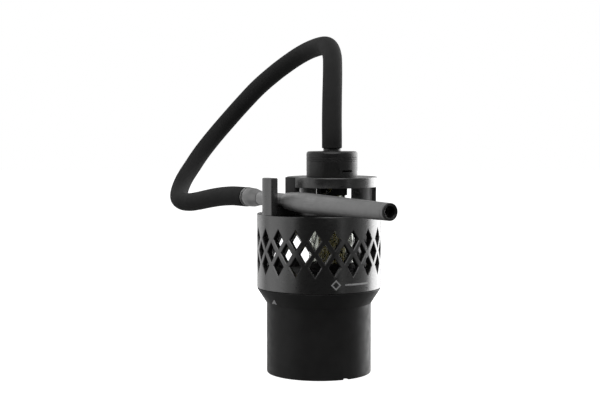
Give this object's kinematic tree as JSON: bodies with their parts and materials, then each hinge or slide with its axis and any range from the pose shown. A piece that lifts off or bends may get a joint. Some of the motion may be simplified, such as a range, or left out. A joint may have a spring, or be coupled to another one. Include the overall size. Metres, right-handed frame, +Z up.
{
  "type": "portable electronic water pipe",
  "caption": "Cup-holder water pipe: round base, lattice shell round a glass tank, capped cage with a hose, and a fork that holds the mouthpiece.",
  "frame": {"origin": "centre of the foot pad's underside, on the axis of the round base", "axes": "+Z up, -Y the front, +X to the right seen from the front; the mouthpiece points to the front right"},
  "size_m": [0.1596, 0.2874, 0.2352],
  "materials": {
    "matte_black_plastic": "fine moulded grain, matte",
    "gunmetal": "satin metallic coat, faint turning lines",
    "black_metal": "satin black anodised, fine turning lines",
    "anodised_grey": "satin grey anodised",
    "rubber": "matte",
    "hose_rubber": "matte silicone",
    "brass": "satin",
    "steel": "satin",
    "cell_wrap": "shrink sleeve",
    "circuit_board": "solder mask",
    "cotton": "soft fibre",
    "tank_glass": "clear, faintly smoked"
  },
  "bodies": {
    "base": {"foot_pad": "rubber", "base_cup": "matte_black_plastic", "battery_cradle": "matte_black_plastic", "battery_cell_1": "cell_wrap", "battery_cell_2": "cell_wrap", "control_board": "circuit_board", "charge_port": "steel", "button_switch": "circuit_board", "base_lid": "matte_black_plastic", "contact_pin": "brass", "lid_screw_1": "steel", "lid_screw_2": "steel", "lid_screw_3": "steel"},
    "button": {"power_button": "black_metal"},
    "head": {"lattice_shell": "gunmetal", "head_floor": "matte_black_plastic", "contact_plate": "brass", "contact_lead": "rubber", "floor_screw_1": "steel", "floor_screw_2": "steel", "floor_screw_3": "steel", "top_plate": "black_metal", "tank_seat": "matte_black_plastic", "seat_seal": "rubber", "tank_glass": "tank_glass", "neck_seal": "rubber", "heater_body": "brass", "wick": "cotton", "chimney_tube": "brass", "cage": "gunmetal", "cage_screw_1": "steel", "cage_screw_2": "steel", "cage_screw_3": "steel", "cap_core": "matte_black_plastic", "hose_nozzle": "steel", "inner_prong": "matte_black_plastic", "mouthpiece_rest": "rubber", "hose": "hose_rubber"},
    "collar": {"airflow_collar": "black_metal"},
    "mouthpiece": {"mouthpiece_tube": "anodised_grey", "mouthpiece_tip": "black_metal", "hose_connector": "anodised_grey", "hose_ferrule": "steel"}
  },
  "joints": [
    {"name": "head_twist", "type": "hinge", "parent": "base", "child": "head", "pos_m": [0, 0, 0.0591], "axis": [0, 0, 1], "range_deg": [0, 30]},
    {"name": "airflow_turn", "type": "hinge", "parent": "head", "child": "collar", "pos_m": [0.0088, 0, 0.1347], "axis": [0, 0, 1], "range_deg": [0, 40]},
    {"name": "mouthpiece_lift", "type": "slide", "parent": "head", "child": "mouthpiece", "axis": [0, 0, 1], "range_m": [0, 0.03], "deforming": ["hose"]},
    {"name": "button_press", "type": "slide", "parent": "base", "child": "button", "axis": [0, -1, 0], "range_m": [0, 0.0005], "stiffness_N_per_m": 600}
  ]
}
